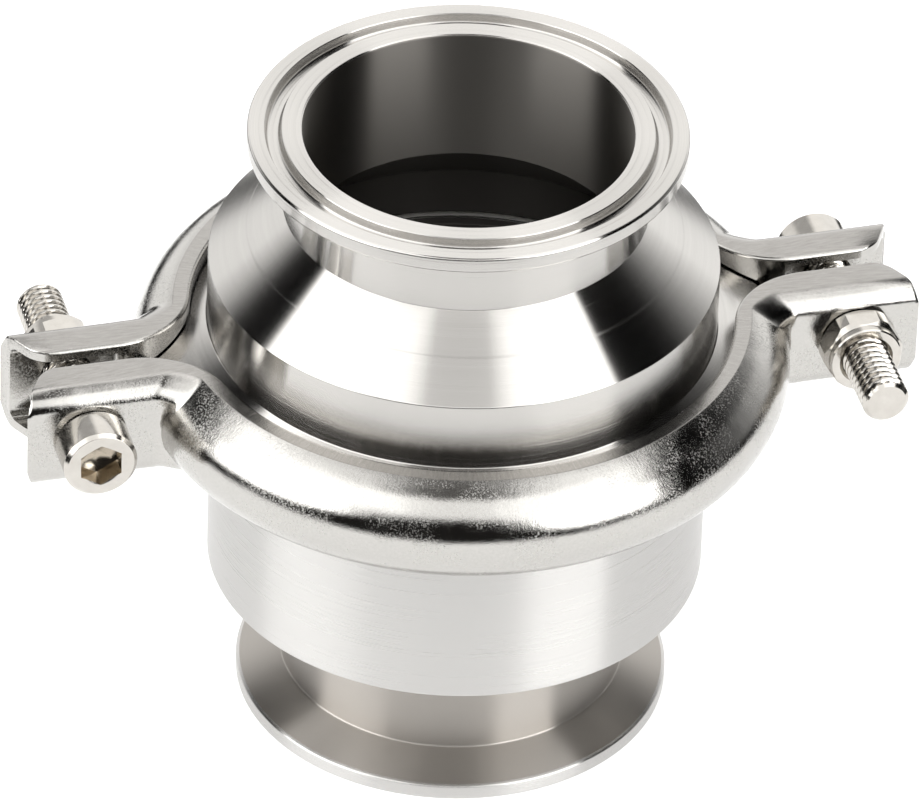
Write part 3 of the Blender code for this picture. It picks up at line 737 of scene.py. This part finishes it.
def snap_ring():
    """Internal retaining ring with two pierced ears, stamped from flat strip."""
    gap_half, ear_half = 12, 24    # degrees
    inner, ear, hole = 22 * MM, 19.8 * MM, 1.1 * MM
    edge = 0.08 * MM
    outline = arc(0, 0, SNAP_RING_R, gap_half, 360 - gap_half, 141)
    outline += arc(0, 0, ear, 360 - gap_half, 360 - ear_half, 9)
    outline += arc(0, 0, inner, 360 - ear_half, ear_half, 121)
    outline += arc(0, 0, ear, ear_half, gap_half, 9)
    outlines = [outline]
    hole_at = (SNAP_RING_R + ear) / 2
    for side in (1, -1):
        middle = math.radians(side * (gap_half + ear_half) / 2)
        x, y = hole_at * math.cos(middle), hole_at * math.sin(middle)
        outlines.append(arc(x, y, hole, 0, 360, 33)[:-1])
    curve = bpy.data.curves.new("snap_ring_stamped", "CURVE")
    curve.dimensions = "2D"
    curve.fill_mode = "BOTH"
    curve.extrude = 0.5 * MM - edge
    curve.bevel_depth = edge
    curve.bevel_resolution = 2
    curve.offset = -edge
    for points in outlines:
        spline = curve.splines.new("POLY")
        spline.points.add(len(points) - 1)
        for slot, (x, y) in zip(spline.points, points):
            slot.co = (x, y, 0, 1)
        spline.use_cyclic_u = True
    shape = add_object("snap_ring_shape", curve)
    bm = bmesh.new()
    bm.from_mesh(evaluated_mesh(shape))
    bpy.data.objects.remove(shape, do_unlink=True)
    bmesh.ops.remove_doubles(bm, verts=bm.verts, dist=0.001 * MM)
    ring = mesh_object("snap_ring_stamped", bm)
    ring.rotation_euler.z = -QUARTER
    ring.location.z = (SNAP_GROOVE_TOP + SNAP_GROOVE_BOTTOM) / 2
    smooth(ring)
    return ring


def spring():
    """Wound wire with closed end turns, ground flat at both ends."""
    low, high = SPRING_LOW.z, SPRING_HIGH.z
    per_turn, sides = 64, 16
    count = SPRING_TURNS * per_turn
    closed_rise = 2 * SPRING_WIRE_R
    open_turns = SPRING_TURNS - 2
    open_rise = (high - low - 2 * SPRING_WIRE_R - 2 * closed_rise) / open_turns

    def height(turn):
        first = min(turn, 1) * closed_rise
        opened = min(max(turn - 1, 0), open_turns) * open_rise
        last = max(turn - 1 - open_turns, 0) * closed_rise
        return low + SPRING_WIRE_R + first + opened + last

    bm = bmesh.new()
    loops = []
    for step in range(count + 1):
        turn = step / per_turn
        angle = 2 * math.pi * turn
        centre = (height(turn - 0.1) + height(turn) + height(turn + 0.1)) / 3
        loop = []
        for side in range(sides):
            around = 2 * math.pi * side / sides
            r = SPRING_R + SPRING_WIRE_R * math.cos(around)
            z = min(max(centre + SPRING_WIRE_R * math.sin(around), low), high)
            loop.append(bm.verts.new((r * math.cos(angle), r * math.sin(angle), z)))
        loops.append(loop)
    bridge(bm, loops)
    bm.faces.new(loops[0])
    bm.faces.new(loops[-1])
    bmesh.ops.recalc_face_normals(bm, faces=bm.faces)
    coil = mesh_object("spring_wound", bm)
    smooth(coil)
    return coil


# ---------------------------------------------------------------- materials

def add_node(tree, kind, inputs=None, **settings):
    """A new node; inputs maps socket names or numbers to values or output sockets."""
    made = tree.nodes.new(kind)
    for name, value in settings.items():
        setattr(made, name, value)
    for socket, source in (inputs or {}).items():
        if isinstance(source, bpy.types.NodeSocket):
            tree.links.new(source, made.inputs[socket])
        else:
            made.inputs[socket].default_value = source
    return made


def maths(tree, operation, first, second=0.0):
    node = add_node(tree, "ShaderNodeMath", {0: first, 1: second}, operation=operation)
    return node.outputs[0]


def vector_maths(tree, operation, first, second=(0, 0, 0)):
    node = add_node(tree, "ShaderNodeVectorMath", {0: first, 1: second}, operation=operation)
    return node.outputs["Value" if operation == "DOT_PRODUCT" else "Vector"]


def weighted(tree, *terms):
    """Sum of values, each with its weight."""
    total = 0.0
    for value, weight in terms:
        total = maths(tree, "ADD", total, maths(tree, "MULTIPLY", value, weight))
    return total


def rise(tree, value, start, end, low=0.0, high=1.0):
    """A number that goes from low to high while a value goes from start to end."""
    node = add_node(tree, "ShaderNodeMapRange", {"Value": value, "From Min": start,
                                                 "From Max": end, "To Min": low, "To Max": high})
    return node.outputs["Result"]


def blend_numbers(tree, share, low, high):
    """A number between low and high, as a share that varies over the surface."""
    return rise(tree, share, 0.0, 1.0, low, high)


def blend_colours(tree, share, first, second):
    first, second = (colour if isinstance(colour, bpy.types.NodeSocket) else (*colour, 1)
                     for colour in (first, second))
    node = add_node(tree, "ShaderNodeMix", {0: share, 6: first, 7: second}, data_type="RGBA")
    return node.outputs[2]


def noise(tree, place, scale, detail=3.0, roughness=0.5, dimensions="3D"):
    socket = "W" if dimensions == "1D" else "Vector"
    node = add_node(tree, "ShaderNodeTexNoise", {socket: place, "Scale": scale, "Detail": detail,
                                                 "Roughness": roughness},
                    noise_dimensions=dimensions)
    return node.outputs[0]


def new_material(name, metallic):
    """A material, its tree, its shader and its object coordinates."""
    mat = bpy.data.materials.new(name)
    mat.use_nodes = True
    tree = mat.node_tree
    shader = tree.nodes["Principled BSDF"]
    shader.inputs["Metallic"].default_value = metallic
    place = add_node(tree, "ShaderNodeTexCoord").outputs["Object"]
    return mat, tree, shader, place


def surface(tree, shader, colour, roughness, height, distance):
    """Give a shader its colour and roughness, and bumps up to a distance high."""
    node = add_node(tree, "ShaderNodeBump", {"Height": height, "Distance": distance})
    for socket, source in (("Base Color", colour), ("Roughness", roughness),
                           ("Normal", node.outputs["Normal"])):
        tree.links.new(source, shader.inputs[socket])


def from_axis(tree, place):
    """Distance from the Z axis, and height."""
    parts = add_node(tree, "ShaderNodeSeparateXYZ", {0: place})
    x, y, z = (parts.outputs[axis] for axis in "XYZ")
    return maths(tree, "SQRT", weighted(tree, (x, x), (y, y))), z


def lathe_coordinate(tree, place):
    """A length that grows across the tool lines on flat faces, cones and cylinders alike."""
    radius, z = from_axis(tree, place)
    return weighted(tree, (radius, 1), (z, 2.3))


def scores(tree, line, cloud):
    """1 on a few deeper tool lines, 0 between them; they fade out round the piece."""
    depth = weighted(tree, (noise(tree, line, 1500, detail=1, dimensions="1D"), 1), (cloud, 0.4))
    return rise(tree, depth, 0.92, 1.02)


def inner_surface(tree, place):
    """1 on the bores' and chamber's dull walls and on the pieces within them, which are painted
    dark as shade; 0 outside.
    """
    radius, z = from_axis(tree, place)
    wall, chamber = BORE_R + 0.1 * MM, CHAMBER_R + 1 * MM
    cone_top = UPPER_BORE_BOTTOM + 0.6 * MM
    limit = rise(tree, z, cone_top, cone_top - (chamber - wall), wall, chamber)
    seat = maths(tree, "GREATER_THAN", z, SEAT_Z - 3 * MM)
    return maths(tree, "LESS_THAN", radius, blend_numbers(tree, seat, wall, limit))


def inlet_ferrule(tree, place):
    """1 on the inlet's neck and ferrule slope, where shade is painted, 0 elsewhere."""
    radius, z = from_axis(tree, place)
    return maths(tree, "MULTIPLY", maths(tree, "LESS_THAN", z, LOWER_SHOULDER - 0.3 * MM),
                 maths(tree, "LESS_THAN", radius, FERRULE_R - 0.5 * MM))


def turned_steel(name, dark, light, roughness, dull_shaded_inlet=False):
    """Steel from the lathe: its reflections smear across fine circular tool lines.

    Inside it is dull and painted dark as shade, darker below the upper bore. Where asked, the inlet
    ferrule is duller too and painted darker and browner as shade.
    """
    mat, tree, shader, place = new_material(name, 1.0)
    line = lathe_coordinate(tree, place)
    fine = noise(tree, line, 9000, detail=3, dimensions="1D")
    coarse = noise(tree, line, 900, detail=2, dimensions="1D")
    cloud = noise(tree, place, 60, detail=3)
    share = weighted(tree, (fine, 0.45), (coarse, 0.3), (cloud, 0.25))
    colour = blend_colours(tree, share, dark, light)
    inside = inner_surface(tree, place)
    smeared = blend_numbers(tree, share, roughness * 0.85, roughness * 1.15)
    smeared = weighted(tree, (smeared, 1), (scores(tree, line, cloud), 0.08))
    if dull_shaded_inlet:
        # Painted shade on the inlet ferrule: a darker, browner colour, with its rougher finish
        inlet = inlet_ferrule(tree, place)
        smeared = blend_numbers(tree, inlet, smeared, INLET_ROUGHNESS)
        colour = blend_colours(tree, inlet, colour, INLET_SHADE_COLOUR)
    # Painted shade inside: dark colour in the upper bore, darker below it in the chamber and on the
    # pieces there
    deep = maths(tree, "LESS_THAN", from_axis(tree, place)[1], UPPER_BORE_BOTTOM)
    painted_inside_shade = blend_colours(tree, deep, BORE_SHADE_COLOUR, CHAMBER_SHADE_COLOUR)
    surface(tree, shader, blend_colours(tree, inside, colour, painted_inside_shade),
            blend_numbers(tree, inside, smeared, BORE_ROUGHNESS), fine, TOOL_LINE_HEIGHT)
    shader.inputs["Anisotropic"].default_value = 1.0
    shader.inputs["Anisotropic Rotation"].default_value = 0.25
    tangent = add_node(tree, "ShaderNodeTangent", direction_type="RADIAL", axis="Z")
    tree.links.new(tangent.outputs[0], shader.inputs["Tangent"])
    return mat


def round_streaks(tree, place):
    """Noise drawn out across the ring, as from grinding its flat edges by hand."""
    parts = add_node(tree, "ShaderNodeSeparateXYZ", {0: place})
    heading = maths(tree, "ARCTAN2", parts.outputs["Y"], parts.outputs["X"])
    radius, height = from_axis(tree, place)
    spot = add_node(tree, "ShaderNodeCombineXYZ", {
        "X": maths(tree, "MULTIPLY", heading, 46 * MM), "Y": maths(tree, "MULTIPLY", radius, 0.12),
        "Z": maths(tree, "MULTIPLY", height, 0.12)})
    return noise(tree, spot.outputs[0], 3200, detail=3, roughness=0.6)


def faces_axis(tree, place, facing):
    """1 where a surface faces the valve's axis, where shade is painted; 0 elsewhere."""
    outward = vector_maths(tree, "NORMALIZE", vector_maths(tree, "MULTIPLY", place, (1, 1, 0)))
    return rise(tree, vector_maths(tree, "DOT_PRODUCT", outward, facing), -0.75, -0.95)


def polished_clamp(name):
    """Polished casting with an orange-peel skin, brushed across its flat edges; its faces toward
    the valve's axis are painted dark as shade.
    """
    mat, tree, shader, place = new_material(name, 1.0)
    facing = add_node(tree, "ShaderNodeTexCoord").outputs["Normal"]
    upright = add_node(tree, "ShaderNodeSeparateXYZ", {0: facing}).outputs["Z"]
    brushed = rise(tree, maths(tree, "ABSOLUTE", upright), 0.9, 0.99)
    swell = noise(tree, place, 230, detail=2, roughness=0.4)
    peel = noise(tree, place, 2600, detail=5, roughness=0.75)
    streaks = round_streaks(tree, place)
    bright = blend_colours(tree, peel, (0.42, 0.41, 0.39), (0.56, 0.55, 0.53))
    dull = blend_colours(tree, streaks, (0.27, 0.26, 0.245), (0.42, 0.41, 0.395))
    colour = blend_colours(tree, brushed, bright, dull)
    inward_shade = faces_axis(tree, place, facing)
    grains = noise(tree, place, 3600, detail=4, roughness=0.65)
    speckle = rise(tree, grains, 0.45, 0.61, 0.04, 0.38)
    worn = rise(tree, noise(tree, place, 160, detail=5), 0.4, 0.55)
    polish_roughness = blend_numbers(tree, worn, 0.06, speckle)
    brushed_roughness = blend_numbers(tree, streaks, 0.12, 0.26)
    roughness = blend_numbers(tree, brushed, polish_roughness, brushed_roughness)
    skin = weighted(tree, (swell, 1), (peel, 0.3), (streaks, 0.12))
    # Painted shade: faces turned to the axis, between the clamp and the body, are coloured nearly
    # black
    surface(tree, shader, blend_colours(tree, inward_shade, colour, CLAMP_INSIDE_SHADE_COLOUR), roughness,
            skin, 0.06 * MM)
    return mat


def fastener_steel(name):
    """Bright stainless steel of the screws and nuts, slightly warm; the sockets are painted darker
    and browner as shade.
    """
    mat, tree, shader, place = new_material(name, 1.0)
    cloud = noise(tree, place, 500, detail=4, roughness=0.6)
    grit = noise(tree, place, 4000, detail=2)
    colour = blend_colours(tree, cloud, (0.48, 0.455, 0.42), (0.60, 0.58, 0.545))
    # Painted shade: the socket's walls and floor are coloured darker and browner
    radius, height = from_axis(tree, place)
    within = maths(tree, "LESS_THAN", radius, SOCKET_MOUTH_R - 0.03 * MM)
    above = maths(tree, "GREATER_THAN", height, 0)
    below = maths(tree, "LESS_THAN", height, HEAD_HEIGHT - 0.2 * MM)
    socket = maths(tree, "MULTIPLY", maths(tree, "MULTIPLY", within, above), below)
    surface(tree, shader, blend_colours(tree, socket, colour, SOCKET_SHADE_COLOUR),
            blend_numbers(tree, grit, 0.08, 0.2), weighted(tree, (cloud, 1), (grit, 0.1)),
            SKIN_HEIGHT)
    return mat


def spring_steel(name):
    """Drawn wire and stamped strip, a little uneven in tone."""
    mat, tree, shader, place = new_material(name, 1.0)
    cloud = noise(tree, place, 700, detail=3)
    surface(tree, shader, blend_colours(tree, cloud, (0.36, 0.35, 0.33), (0.54, 0.53, 0.51)),
            blend_numbers(tree, cloud, 0.2, 0.38), cloud, SKIN_HEIGHT)
    return mat


def moulded(name, dark, light, low, high, grain):
    """Rubber or plastic with a fine moulded skin."""
    mat, tree, shader, place = new_material(name, 0.0)
    cloud = noise(tree, place, grain / 8, detail=3)
    skin = noise(tree, place, grain, detail=2)
    surface(tree, shader, blend_colours(tree, cloud, dark, light),
            blend_numbers(tree, skin, low, high), skin, SKIN_HEIGHT)
    return mat


# ---------------------------------------------------------------- studio

def light_by_direction(tree, place):
    """Brightness inside the tent by heading, seen as the facing that mirrors it to the camera.

    On a turned surface each facing shows one sector, so the sectors' edges stay sharp.
    Facings are in degrees from the camera's side, + to its right.
    """
    direction = vector_maths(tree, "NORMALIZE", place)

    def along(axis):
        return vector_maths(tree, "DOT_PRODUCT", direction, axis)

    sine, cosine = math.sin(CAMERA_AZIMUTH), math.cos(CAMERA_AZIMUTH)
    across = along((cosine, sine, 0))
    toward = maths(tree, "ADD", along((sine, -cosine, 0)), math.cos(CAMERA_ELEVATION))
    facing = maths(tree, "ARCTAN2", across, toward)
    circle = maths(tree, "ADD", maths(tree, "DIVIDE", facing, 2 * math.pi), 0.5)
    elevation = maths(tree, "MULTIPLY", maths(tree, "ARCSINE", along((0, 0, 1))), 180 / math.pi)

    def sectors(stops):
        node = add_node(tree, "ShaderNodeValToRGB", {"Fac": circle})
        elements = node.color_ramp.elements
        for azimuth, _ in stops[1:-1]:
            elements.new(azimuth / 360 + 0.5)
        for element, (_, level) in zip(elements, stops):
            element.color = (level, level * 0.995, level * 0.985, 1)
        return node.outputs["Color"]

    # Degrees, raised so that none is negative
    raised = 20
    skyline = sectors([(-180, 16), (-60, 16), (-35, 17), (-29, 20), (-20, 27), (-11, 40),
                       (3, 45), (11, 38), (20, 14), (30, 12), (180, 12)])
    walls = sectors([(-180, 1.6), (-110, 1.6), (-84, 1.25), (-75, 0.65), (-67, 0.13), (-59, 0.01),
                     (-49.3, 0.0), (-48.7, 2.5), (-10, 2.3), (-7, 1.5), (7, 1.5), (10, 2.2),
                     (36.9, 2.5), (37.5, 0.0), (56, 0.01), (68, 0.14), (77, 0.5), (88, 1.25),
                     (110, 1.6), (180, 1.6)])
    lamps = sectors([(-180, 1.4), (-76, 1.3), (-68, 0.8), (-61, 0.15), (-55, 0.01), (-49.3, 0.0),
                     (-48.7, 3.0), (-43, 5), (-24, 5), (-19, 1.2), (13, 1.2), (17, 5), (36.9, 5),
                     (37.5, 0.0), (50, 0.01), (60, 0.2), (70, 0.6), (84, 1.4), (180, 1.4)])
    overhead = sectors([(-180, 0), (-100, 0), (-80, 0.7), (-40, 0.8), (-28, 0.4), (-13, 0.4),
                        (-10, 1), (10, 1), (13, 0.3), (37, 0.3), (80, 0.7), (100, 0), (180, 0)])
    over = maths(tree, "SUBTRACT", maths(tree, "ADD", elevation, raised), skyline)
    light = blend_colours(tree, rise(tree, elevation, 22, 30), lamps, walls)
    light = blend_colours(tree, rise(tree, over, -2, 4), TENT_FOOT, light)
    dim = maths(tree, "MULTIPLY", rise(tree, elevation, 60, 66), overhead)
    light = blend_colours(tree, dim, light, TENT_DIM_TOP)
    lean = maths(tree, "SQRT", weighted(tree, (across, across), (toward, toward)))
    return blend_colours(tree, rise(tree, lean, 0.24, 0.08), light, TENT_BRIGHT_CAP)


def light_tent():
    """A globe of soft light round the valve, open below. The camera looks through it."""
    bm = bmesh.new()
    bmesh.ops.create_uvsphere(bm, u_segments=96, v_segments=48, radius=TENT_RADIUS)
    bmesh.ops.bisect_plane(bm, geom=[*bm.verts, *bm.edges, *bm.faces], plane_no=(0, 0, 1),
                           plane_co=(0, 0, -TENT_RADIUS / 2), clear_inner=True)
    tent = mesh_object("light_tent", bm)
    tent.visible_camera = False
    mat = bpy.data.materials.new("tent_light")
    mat.use_nodes = True
    mat.cycles.emission_sampling = "NONE"
    tree = mat.node_tree
    tree.nodes.clear()
    place = add_node(tree, "ShaderNodeTexCoord").outputs["Object"]
    glow = add_node(tree, "ShaderNodeEmission", {"Color": light_by_direction(tree, place)})
    output = add_node(tree, "ShaderNodeOutputMaterial")
    tree.links.new(glow.outputs[0], output.inputs["Surface"])
    tent.data.materials.append(mat)

    world = bpy.data.worlds.new("white")
    world.use_nodes = True
    world.node_tree.nodes["Background"].inputs["Color"].default_value = (1, 1, 1, 1)
    bpy.context.scene.world = world


def floor():
    """Plain white sweep under the valve, bright enough to merge with the background."""
    bm = bmesh.new()
    bmesh.ops.create_circle(bm, cap_ends=True, segments=96, radius=FLOOR_RADIUS)
    ground = mesh_object("floor", bm)
    ground.location.z = -0.02 * MM
    mat = bpy.data.materials.new("floor_white")
    mat.use_nodes = True
    shader = mat.node_tree.nodes["Principled BSDF"]
    for socket, value in (("Base Color", (0.6, 0.6, 0.6, 1)), ("Roughness", 0.8),
                          ("Emission Color", (1, 1, 1, 1)), ("Emission Strength", 0.6)):
        shader.inputs[socket].default_value = value
    ground.data.materials.append(mat)


def camera():
    """Long lens from above at the front, a little to the left, rolled slightly."""
    forward = Vector((0, math.cos(CAMERA_ELEVATION), -math.sin(CAMERA_ELEVATION)))
    right = Vector((1, 0, 0))
    up = right.cross(forward)
    across = math.cos(CAMERA_ROLL) * right + math.sin(CAMERA_ROLL) * up
    above = math.cos(CAMERA_ROLL) * up - math.sin(CAMERA_ROLL) * right
    place = -CAMERA_DISTANCE * forward - CAMERA_OFFSET[0] * across - CAMERA_OFFSET[1] * above
    axes = Matrix((across, above, -forward)).transposed()
    turn = Matrix.Rotation(CAMERA_AZIMUTH, 3, "Z")
    data = bpy.data.cameras.new("camera")
    data.lens = CAMERA_LENS
    data.sensor_width = 36
    data.clip_start = 0.1
    data.clip_end = 20
    obj = add_object("camera", data)
    pose = (turn @ axes).to_4x4()
    pose.translation = turn @ place + Vector((0, 0, CAMERA_AIM_Z))
    obj.matrix_world = pose
    bpy.context.scene.camera = obj


# ---------------------------------------------------------------- putting it together

def use(obj, node, finish, body="housing"):
    """Give a piece its finish's material, hide the CAD node it stands for and tie the piece to its
    body; the finish's slot name is not used.
    """
    material, slot = finish
    obj.data.materials.clear()
    obj.data.materials.append(material)
    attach(obj, body)
    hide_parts(node)
    return obj


def build():
    body = turned_steel("body_steel", (0.47, 0.457, 0.437), (0.62, 0.607, 0.587),
                        0.165), "body_steel"
    lower = turned_steel("lower_body_steel", (0.49, 0.482, 0.47), (0.62, 0.612, 0.60), 0.26,
                         dull_shaded_inlet=True), "body_steel"
    stack = turned_steel("stem_steel", (0.40, 0.385, 0.365), (0.52, 0.505, 0.48),
                         0.28), "stem_steel"
    clamp = polished_clamp("clamp_steel"), "clamp_steel"
    fastener = fastener_steel("fastener_steel"), "fastener_steel"
    wire = spring_steel("spring_steel"), "spring_steel"
    gasket = moulded("joint_gasket", (0.74, 0.73, 0.69), (0.84, 0.83, 0.79),
                     0.4, 0.6, 6000), "joint_gasket"
    seal = moulded("seal_rubber", (0.016, 0.016, 0.016), (0.035, 0.035, 0.034),
                   0.4, 0.65, 8000), "seal_rubber"
    plastic = moulded("bush_plastic", (0.80, 0.79, 0.75), (0.88, 0.87, 0.83),
                      0.35, 0.5, 5000), "bush_plastic"

    use(upper_body(), "upper_body", body)
    use(lower_body(), "lower_body", lower)
    use(body_gasket(), "body_gasket", gasket)
    for name, turn in (("clamp_half_rear", 0), ("clamp_half_front", math.pi)):
        use(clamp_half(f"{name}_cast", turn), name, clamp)
    for side, x, turn in (("left", -BOLT_X, QUARTER), ("right", BOLT_X, -QUARTER)):
        screw, nut = f"clamp_screw_{side}", f"clamp_nut_{side}"
        use(socket_screw(f"{screw}_threaded", x, turn), screw, fastener)
        use(clamp_nut(f"{nut}_chamfered", x, turn), nut, fastener)
    use(guide_spider(), "guide_spider", body)
    use(guide_bush(), "guide_bush", plastic)
    use(snap_ring(), "snap_ring", wire)

    moving = "disc_assembly"
    use(valve_disc(), "valve_disc", stack, moving)
    use(disc_seal(), "disc_seal", seal, moving)
    use(seal_retainer(), "seal_retainer", stack, moving)
    use(stem(), "stem", stack, moving)
    use(spring_collar(), "spring_collar", stack, moving)
    low_nut = COLLAR_BOTTOM - SEAT_GAP - STEM_NUT_HEIGHT
    for place, bottom in (("top", DISC_TOP + SEAT_GAP), ("bottom", low_nut)):
        nut = f"stem_nut_{place}"
        use(stem_nut(f"{nut}_chamfered", bottom), nut, fastener, moving)

    coil = use(spring(), "spring", wire)
    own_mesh(coil)


build()
floor()
light_tent()
camera()
bpy.context.scene.view_settings.view_transform = "Standard"
